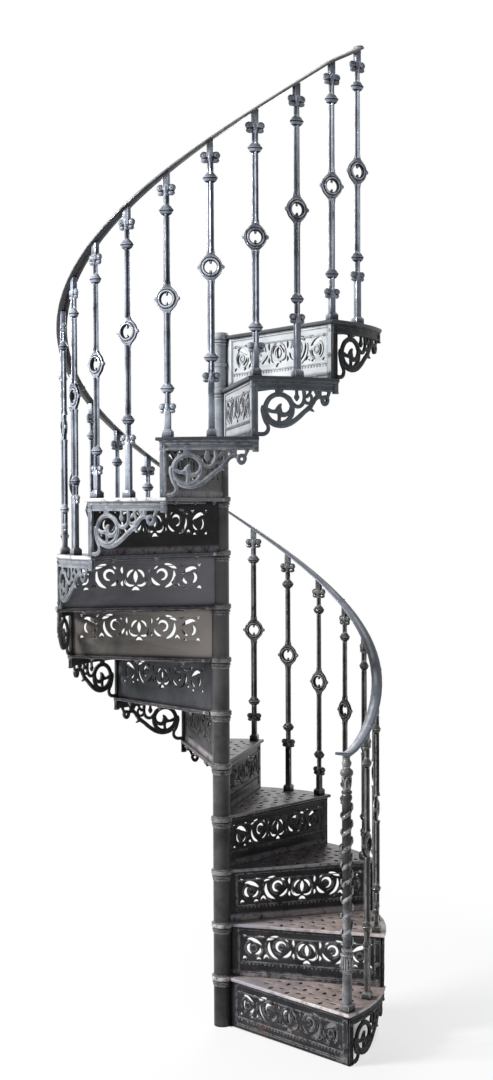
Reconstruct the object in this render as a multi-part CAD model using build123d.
"""Cast-iron spiral stair: thirteen treads threaded on a column, with pierced risers and a balustrade.

Millimetres and degrees. The origin is the centre of the column's foot on the floor and +Z is up. The
stair climbs anticlockwise seen from above, and the edge where the landing meets the top tread lies
along +X.
"""
from build123d import *
import os
from math import asin, atan, cos, degrees, pi, radians, sin, sqrt

# Flight
tread_count = 13
rise = 203.0
first_rise = 190.0
step_angle = 29.4
panel_radius = 616.0  # outer face of the curved side brackets
nosing_overhang = 12.0  # of the tread past the riser in front
side_overhang = 8.0  # of the tread past the brackets
tread_thickness = 12.0
edge_chamfer = 3.0
lap_depth = 36.0  # strip of each tread that carries the next riser

# Column
column_radius = 33.0
column_wall = 12.0
column_end = 20.0  # thickness of its solid foot and head
column_clearance = 0.2
collar_projection = 8.0
collar_height = 7.0
collar_sides = 12
cap_height = 6.0

# Risers and their pierced frieze
riser_thickness = 9.0
inner_stile = 34.0
outer_stile = 22.0
frieze_top_margin = 40.0
frieze_height = 92.0
frieze_bays = 5

# Side brackets: along the outer face from the riser, and down from the tread's underside
bracket_thickness = 9.0
bracket_flats = 4
stile_width = 22.0
band_depth = 34.0
end_block_length = 20.0
end_block_step = 6.0
scroll_radius = 57.0
scroll_bar = 13.0
scroll_along = 98.0
scroll_drop = 98.0
bead_radius = 19.0
bead_bore = 9.0
bead_from_end = 58.0
bead_drop = 61.0
crocket_from_end = 114.0
crocket_drop = 74.0

# Balustrade
baluster_inset = 34.0  # from the nosing to the balusters' centres
first_baluster_angle = 3.1
rail_height = 886.0  # underside of the rail over a tread's first baluster
baluster_depth = 18.0
shaft_width = 20.0
foot_size = 35.0
foot_height = 24.0
roundel_below_rail = 420.0
roundel_radius = 38.0
roundel_hole = 20.5
knop_below_rail = 123.0
knop_width = 54.0
knop_height = 44.0
cluster_below_rail = 56.0
cluster_width = 70.0
cluster_height = 42.0
lower_knop_below_rail = 720.0
lower_cluster_below_rail = 788.0
lower_cluster_width = 62.0
top_turns = (-18.0, -25.0)  # of the last tread's two balusters about their own shafts
seat_clearance = 0.2

# Handrail and newel
rail_width = 40.0
rail_thickness = 10.0
rail_crown = 4.0
rail_bend_lead = 2.5  # from the flatter top end to the last tread's first baluster, degrees
rail_bend_lap = 0.4  # degrees
top_slope_share = 0.75  # of the top end's slope to the rest of the rail's
newel_height = 912.0
newel_foot = 42.0
newel_foot_height = 24.0
newel_sides = 12
newel_shaft_radius = 16.0
newel_drum_level = 144.0  # from the tread to the drum's underside
newel_drum_radius = 24.0
newel_drum_height = 56.0
newel_bell_below_top = 52.0
newel_bell_height = 74.0
newel_bell_radius = 31.0
newel_disc_radius = 28.0
newel_disc_height = 10.0
tongue_length = 40.0
rail_end_length = 15.0

# Bolt holes for the landing
landing_hole_radius = 5.5
landing_hole_count = 2
landing_hole_pitch = 300.0
landing_hole_first = 180.0

nosing_radius = panel_radius + side_overhang
collar_radius = column_radius + collar_projection
baluster_radius = nosing_radius - baluster_inset
first_angle = -tread_count * step_angle
rail_pitch = rise * 360 / step_angle
rail_slope = rise / radians(step_angle) / baluster_radius
top_pitch = rail_pitch * top_slope_share
bend_angle = first_baluster_angle + (tread_count - 1) * step_angle - rail_bend_lead
riser_back = nosing_overhang + riser_thickness
bracket_start_angle = degrees(asin(nosing_overhang / panel_radius))
lap_angle = degrees(asin(lap_depth / nosing_radius))
bracket_span = step_angle + lap_angle - bracket_start_angle


def tread_top(step):
    return first_rise + (step - 1) * rise


def step_rise(step):
    return first_rise if step == 1 else rise


def at_step(step, shape):
    """Turns a shape drawn with its riser along +X and puts its zero height at the tread below."""
    turn = Rot(0, 0, first_angle + (step - 1) * step_angle)
    return Pos(0, 0, tread_top(step) - step_rise(step)) * turn * shape


def on_circle(radius, angle):
    return Vector(radius * cos(radians(angle)), radius * sin(radians(angle)))


def sector_plate():
    """The tread's plan: a wedge with a strip behind it for the next riser, inside the nosing circle."""
    back_along = Vector(cos(radians(step_angle)), sin(radians(step_angle)))
    back_across = Vector(-back_along.Y, back_along.X)
    back_corner = on_circle(nosing_radius, step_angle + lap_angle)
    outline = Polyline(back_corner, back_across * lap_depth, (0, 0), (nosing_radius, 0))
    edge = ThreePointArc((nosing_radius, 0), on_circle(nosing_radius, step_angle / 2), back_corner)
    return make_face(outline + edge)


def eye(radius):
    """A few-sided ring outline whose flats lie on a circle."""
    return RegularPolygon(radius / cos(pi / collar_sides), collar_sides)


def tread(step):
    """A wedge-shaped casting with a raised collar, threaded on the column."""
    height = step_rise(step)
    plate = extrude(sector_plate(), tread_thickness)
    top = plate.faces().sort_by(Axis.Z)[-1]
    nosing = top.edges().filter_by(Axis.X) + top.edges().filter_by(GeomType.CIRCLE)
    plate = chamfer(nosing, edge_chamfer)
    casting = plate + extrude(eye(collar_radius), tread_thickness + collar_height)
    casting -= extrude(eye(column_radius + column_clearance), tread_thickness + collar_height)
    casting = Pos(0, 0, height - tread_thickness) * casting
    if step == tread_count:
        casting -= landing_holes(height)
    return casting


def landing_holes(height):
    """Holes through the back strip of the top tread, in line with the next riser."""
    middle = (riser_back + lap_depth) / 2
    hole = Cylinder(landing_hole_radius, rise / 4)
    reaches = [landing_hole_first + i * landing_hole_pitch for i in range(landing_hole_count)]
    return Rot(0, 0, step_angle) * Compound([Pos(reach, middle, height) * hole for reach in reaches])


def column():
    """The hollow pole that carries the treads, with a solid foot and head."""
    top = tread_top(tread_count) + collar_height + cap_height
    bore = Cylinder(column_radius - column_wall, top - 2 * column_end)
    return Pos(0, 0, top / 2) * (Cylinder(column_radius, top) - bore)


def lune(radius, thickness, turn):
    """A few-sided crescent opening, widest at its turn angle and pointed at both tips."""
    outer = [on_circle(radius, angle) for angle in (-75, -38, 0, 38, 75)]
    inner = [on_circle(radius, angle) - Vector(thickness, 0) for angle in (35, -35)]
    return Rot(0, 0, turn) * make_face(Polyline(*outer, *inner, close=True))


def leaf(length, width, turn):
    """A leaf-shaped opening, pointed at both ends and fullest below its middle."""
    across = width / 2
    outline = [(-length / 2, 0), (-length / 6, -across), (length / 2, 0), (-length / 6, across)]
    return Rot(0, 0, turn) * make_face(Polyline(*outline, close=True))


def frieze(length):
    """The pierced leaf, scroll, lyre, scroll and leaf, about the middle of the frieze."""
    bay = length / frieze_bays
    tall = frieze_height
    openings = []
    for side in (-1, 1):
        openings.append(Pos(side * tall * 0.11, 0) * lune(tall * 0.36, tall * 0.13, 90 - side * 90))
        openings.append(Pos(side * bay, -tall * 0.04) * lune(tall * 0.42, tall * 0.22, 90 + side * 90))
        openings.append(Pos(side * 2 * bay, 0) * leaf(tall * 0.8, tall * 0.3, 90 + side * 28))
    return Sketch(openings)


def riser(step):
    """A radial panel standing on the tread below, hollowed at its inner end to fit the column."""
    height = step_rise(step) - tread_thickness
    inner = column_radius / 2
    outer = panel_radius - bracket_thickness / 2
    panel = Pos((inner + outer) / 2, height / 2) * Rectangle(outer - inner, height)
    frieze_start = column_radius + inner_stile
    frieze_length = panel_radius - bracket_thickness - outer_stile - frieze_start
    frieze_centre = height - frieze_top_margin - frieze_height / 2
    panel -= Pos(frieze_start + frieze_length / 2, frieze_centre) * frieze(frieze_length)
    solid = extrude(Plane.XZ * panel, -riser_thickness)
    solid = Pos(0, nosing_overhang, 0) * solid
    solid -= Cylinder(column_radius + column_clearance, 3 * rise)
    solid -= bent_panel(height)
    if step > 1:
        solid -= Rot(0, 0, -step_angle) * extrude(eye(collar_radius), collar_height)
    return solid


def bracket_outline(height, length):
    """The side bracket laid flat: X along from the riser, Y up from the tread's underside."""
    foot = -height
    block = length - end_block_length
    block_foot = -band_depth - end_block_step
    bead_along = length - bead_from_end
    crocket_along = length - crocket_from_end
    outline = [(0, foot), (0, 0), (length, 0), (length, block_foot), (block, block_foot)]
    outline += [
        (block, -band_depth),
        (bead_along + bead_radius * 0.7, -bead_drop - bead_radius * 0.7),
        (bead_along - bead_radius * 0.7, -bead_drop - bead_radius * 0.7),
        (bead_along - bead_radius * 1.6, -bead_drop + bead_radius),
        (crocket_along + bead_radius * 0.6, -crocket_drop + bead_radius),
        (crocket_along, -crocket_drop),
    ]
    centre = Vector(scroll_along, -scroll_drop)
    outline += [centre + on_circle(scroll_radius, angle) for angle in (-30, -75, -125)]
    outline += [(stile_width + scroll_radius * 0.4, foot + scroll_bar), (stile_width, foot)]
    return make_face(Polyline(*outline, close=True))


def bracket_openings(height, length):
    """Openings of the bracket: three in the scroll, one beside it, a leaf, and the bore of the bead."""
    inside = scroll_radius - scroll_bar
    bar = scroll_bar / 2
    centre = Vector(scroll_along, -scroll_drop)
    openings = [Pos(centre) * half_moon(inside)]
    for side in (-1, 1):
        corner = [(side * bar, -bar), (side * inside * 0.9, -inside * 0.1), (side * bar, -inside)]
        openings.append(Pos(centre) * make_face(Polyline(*corner, close=True)))
    stile_gap = stile_width + 4
    drop_top = -(scroll_drop + scroll_radius * 0.4)
    drop_foot = -(height - scroll_bar)
    drop = [(stile_gap, drop_top), (stile_gap + 14, drop_foot + 12), (stile_gap, drop_foot)]
    openings.append(make_face(Polyline(*drop, close=True)))
    bead_along = length - bead_from_end
    between = (scroll_along + bead_along) / 2
    openings.append(Pos(between, -band_depth - 8) * Rot(0, 0, 180) * half_moon(scroll_bar * 2))
    openings.append(Pos(bead_along, -bead_drop) * RegularPolygon(bead_bore, 4))
    return Sketch(openings)


def half_moon(radius):
    """A few-sided half round, flat side down, just above its centre."""
    rim = [on_circle(radius, angle) for angle in (12, 60, 120, 168)]
    return make_face(Polyline(*rim, close=True))


def bent_panel(height):
    """The side panel before it is pierced, bent round the tread's outer edge in a few flats."""
    bends = [bracket_start_angle + bracket_span * i / bracket_flats for i in range(bracket_flats + 1)]
    outer = [on_circle(panel_radius, angle) for angle in bends]
    inner = [on_circle(panel_radius - bracket_thickness, angle) for angle in reversed(bends)]
    return extrude(make_face(Polyline(*outer, *inner, close=True)), height)


def bracket(step):
    """The scrolled side panel under a tread."""
    height = step_rise(step) - tread_thickness
    length = panel_radius * radians(bracket_span)
    flat = bracket_outline(height, length) - bracket_openings(height, length)
    outward = Plane(origin=(0, 0, height), x_dir=(0, 1, 0), z_dir=(1, 0, 0))
    cutter = extrude(outward * Pos(-length / 2, 0) * flat, panel_radius + bracket_thickness)
    return bent_panel(height) & Rot(0, 0, bracket_start_angle + bracket_span / 2) * cutter


def half_outline(points):
    """A closed face from one side of a silhouette, mirrored about the middle line."""
    mirrored = [(-x, y) for x, y in reversed(points)]
    return make_face(Polyline(*points, *mirrored, close=True))


def swelling(width, height, level):
    """One side of a knop or cluster on the shaft."""
    neck = shaft_width / 2
    return [(neck, level - height / 2), (width / 2, level), (neck, level + height / 2)]


def baluster(height, turn=0.0, slope=rail_slope):
    """A flat-sided cast baluster, facing along the radius, with its top cut to the rail's slope."""
    reach = roundel_radius
    roundel_level = height - roundel_below_rail
    shoulder = sqrt(reach**2 - (shaft_width / 2) ** 2)
    spare = shaft_width * slope
    points = [
        (foot_size / 2, 0), (foot_size / 2, foot_height), (shaft_width * 0.75, foot_height)
    ]
    points += swelling(lower_cluster_width, cluster_height, height - lower_cluster_below_rail)
    points += swelling(knop_width, knop_height, height - lower_knop_below_rail)
    points += [(shaft_width / 2, roundel_level - shoulder), (reach, roundel_level - reach * 0.4)]
    points += [(reach, roundel_level + reach * 0.4), (shaft_width / 2, roundel_level + shoulder)]
    points += swelling(knop_width, knop_height, height - knop_below_rail)
    points += swelling(cluster_width, cluster_height, height - cluster_below_rail)
    points += [(shaft_width / 2, height + spare)]
    silhouette = half_outline(points) - Pos(0, roundel_level) * RegularPolygon(roundel_hole, 6)
    across = Plane(origin=(0, 0, 0), x_dir=(0, 1, 0), z_dir=(1, 0, 0))
    body = extrude(across * silhouette, baluster_depth / 2, both=True)
    foot = Pos(0, 0, foot_height / 2) * Box(foot_size, foot_size, foot_height)
    above = Pos(0, 0, height - seat_clearance) * Rot(degrees(atan(slope)), 0, 0)
    return Rot(0, 0, turn) * (body + foot) - above * Pos(0, 0, rise / 2) * Box(rise, rise, rise)


def place_baluster(shape, step, angle):
    turn = first_angle + (step - 1) * step_angle + angle
    return Pos(0, 0, tread_top(step)) * Rot(0, 0, turn) * Pos(baluster_radius, 0, 0) * shape


def balusters(first_step, angle, height, last_turn):
    """A row of like balusters, one to a tread, the last one turned and cut to the rail's top end."""
    one = baluster(height)
    row = [place_baluster(one, step, angle) for step in range(first_step, tread_count)]
    last_height = rail_level(angle + (tread_count - 1) * step_angle) - tread_top(tread_count)
    last = baluster(last_height, last_turn, rail_slope * top_slope_share)
    return Compound(row + [place_baluster(last, tread_count, angle)])


def rail_section():
    """The rail's flat underside with sloping sides, about the middle of the underside."""
    half = rail_width / 2
    return half_outline([(half, 0), (half - rail_crown, rail_thickness)])


def rail_length(start_angle, end_angle, pitch):
    """One length of rail climbing from a start angle to an end angle, starting at zero height."""
    path = Helix(pitch, pitch * (end_angle - start_angle) / 360, baluster_radius)
    start = Plane(origin=path @ 0, x_dir=(1, 0, 0), z_dir=path % 0)
    section = Rot(0, 0, 0 if start.y_dir.Z > 0 else 180) * rail_section()
    return Rot(0, 0, start_angle) * sweep(start * section, path=path, is_frenet=True)


def rail_level(angle):
    """Height of the rail's underside at an angle climbed from the first nosing."""
    past_bend = max(angle - bend_angle, 0)
    climbed = (angle - first_baluster_angle) * rail_pitch - past_bend * (rail_pitch - top_pitch)
    return tread_top(1) + rail_height + climbed / 360


def handrail():
    """Two long lengths, and a short one that eases down on to the newel and ends in a level tongue."""
    newel_angle = first_baluster_angle
    easing_angle = first_baluster_angle + step_angle / 2
    joint_angle = first_baluster_angle + 6.75 * step_angle
    top_angle = first_baluster_angle + (tread_count - 0.5) * step_angle
    end_angle = top_angle + degrees(rail_end_length / baluster_radius)
    lap_level = rail_level(bend_angle) - top_pitch * rail_bend_lap / 360
    newel_top = tread_top(1) + newel_height
    easing_rise = rail_level(easing_angle) - newel_top
    easing_pitch = easing_rise * 360 / (easing_angle - newel_angle)
    lower = Pos(0, 0, rail_level(easing_angle)) * rail_length(easing_angle, joint_angle, rail_pitch)
    upper = Pos(0, 0, rail_level(joint_angle)) * rail_length(joint_angle, bend_angle, rail_pitch)
    upper += Pos(0, 0, lap_level) * rail_length(bend_angle - rail_bend_lap, end_angle, top_pitch)
    easing = Pos(0, 0, newel_top) * rail_length(newel_angle, easing_angle, easing_pitch)
    joint_place = (baluster_radius, 0, rail_level(easing_angle))
    joint = Plane(origin=joint_place, x_dir=(1, 0, 0), z_dir=(0, 1, rail_slope))
    past_joint = Rot(0, 0, easing_angle) * extrude(joint * Rectangle(rise, rise), rail_width)
    level = Plane(origin=(baluster_radius, 0, newel_top), x_dir=(1, 0, 0), z_dir=(0, -1, 0))
    tongue = Rot(0, 0, newel_angle) * extrude(level * rail_section(), tongue_length)
    return {
        "handrail_lower": Rot(0, 0, first_angle) * lower,
        "handrail_upper": Rot(0, 0, first_angle) * upper,
        "handrail_end": Rot(0, 0, first_angle) * (easing - past_joint + tongue),
    }


def newel():
    """The newel post at the foot of the balustrade: a foot, a drum, a shaft and a belled capital."""
    bell_top = newel_height - newel_bell_below_top
    foot = extrude(Rectangle(newel_foot, newel_foot), newel_foot_height)
    shaft = extrude(RegularPolygon(newel_shaft_radius, newel_sides), newel_height)
    drum = extrude(RegularPolygon(newel_drum_radius, newel_sides), newel_drum_height)
    neck = Pos(0, 0, bell_top - newel_bell_height) * RegularPolygon(newel_shaft_radius, newel_sides)
    mouth = Pos(0, 0, bell_top) * RegularPolygon(newel_bell_radius, newel_sides)
    disc = extrude(RegularPolygon(newel_disc_radius, newel_sides), newel_disc_height)
    post = foot + shaft + Pos(0, 0, newel_drum_level) * drum + loft([neck, mouth])
    return post + Pos(0, 0, bell_top + newel_disc_height) * disc


def write(name, shape):
    export_step(shape, os.path.join("parts", name + ".step"))


def main():
    os.makedirs("parts", exist_ok=True)
    long_angle = first_baluster_angle + step_angle / 2
    long_height = rail_height + rise / 2
    write("centre_column", column())
    write("newel_post", place_baluster(newel(), 1, first_baluster_angle))
    write("balusters_short", balusters(2, first_baluster_angle, rail_height, top_turns[0]))
    write("balusters_long", balusters(1, long_angle, long_height, top_turns[1]))
    for name, rail in handrail().items():
        write(name, rail)
    for step in range(1, tread_count + 1):
        write(f"tread_{step:02d}", at_step(step, tread(step)))
        write(f"riser_{step:02d}", at_step(step, riser(step)))
        write(f"bracket_{step:02d}", at_step(step, bracket(step)))


main()
